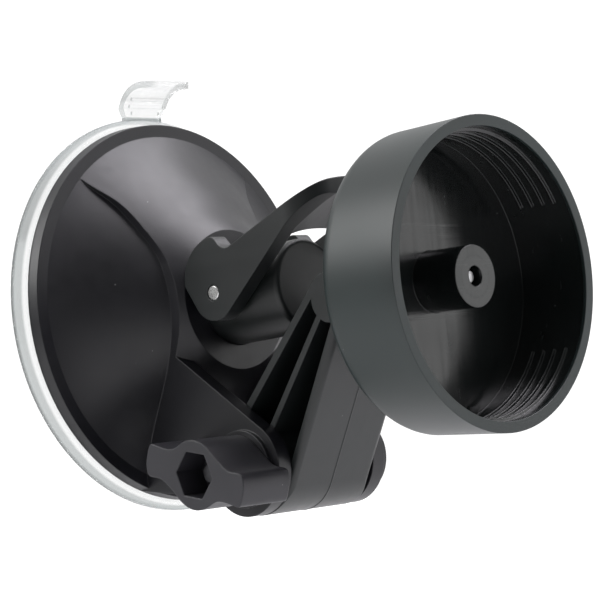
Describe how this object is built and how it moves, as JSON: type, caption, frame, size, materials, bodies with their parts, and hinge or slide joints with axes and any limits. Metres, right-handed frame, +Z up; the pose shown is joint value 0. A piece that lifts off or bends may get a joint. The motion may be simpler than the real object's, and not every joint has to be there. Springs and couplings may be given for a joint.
{
  "type": "suction cup device mount",
  "caption": "Windscreen suction mount: cam-lever vacuum base, knob-clamped tilting arm and a round open cup that holds a small device.",
  "frame": {"origin": "centre of the suction disc's flat contact face, on the windscreen", "axes": "+Y into the windscreen along the suction axis, -Y towards the driver, +Z up towards the pull tab, +X to the right seen from the driver"},
  "size_m": [0.08, 0.0878, 0.0892],
  "materials": {
    "clear_soft": "clear, soft, glossy",
    "black_plastic": "fine satin moulded",
    "steel": "zinc-plated"
  },
  "bodies": {
    "base": {"dome_housing": "black_plastic", "suction_disc": "clear_soft", "clamp_bolt": "steel"},
    "plunger": {"plunger": "black_plastic", "lever_pin": "steel"},
    "lever": {"cam_lever": "black_plastic"},
    "knob": {"clamp_knob": "black_plastic", "clamp_nut": "steel"},
    "arm": {"arm": "black_plastic"},
    "cup": {"cup": "black_plastic", "cup_screw": "steel", "cup_washer": "steel"}
  },
  "joints": [
    {"name": "lever_hinge", "type": "hinge", "parent": "plunger", "child": "lever", "pos_m": [0, -0.0284, 0.0006], "axis": [-1, 0, 0], "range_deg": [0, 75]},
    {"name": "plunger_slide", "type": "slide", "parent": "base", "child": "plunger", "axis": [0, -1, 0], "range_m": [0, 0.00295], "deforming": ["suction_disc"]},
    {"name": "arm_tilt", "type": "hinge", "parent": "base", "child": "arm", "pos_m": [0, -0.0322, -0.0336], "axis": [1, 0, 0], "range_deg": [0, 100]},
    {"name": "knob_spin", "type": "hinge", "parent": "base", "child": "knob", "pos_m": [-0.022, -0.0322, -0.0336], "axis": [-1, 0, 0], "range_deg": [0, 450]},
    {"name": "cup_swivel", "type": "hinge", "parent": "arm", "child": "cup", "pos_m": [0, -0.0866, -0.0047], "axis": [0, -0.9991, -0.0427], "range_deg": [-180, 180]}
  ],
  "couplings": [
    {"joint": "lever_hinge", "follows": "plunger_slide", "rad_per_m": 444.44}
  ]
}
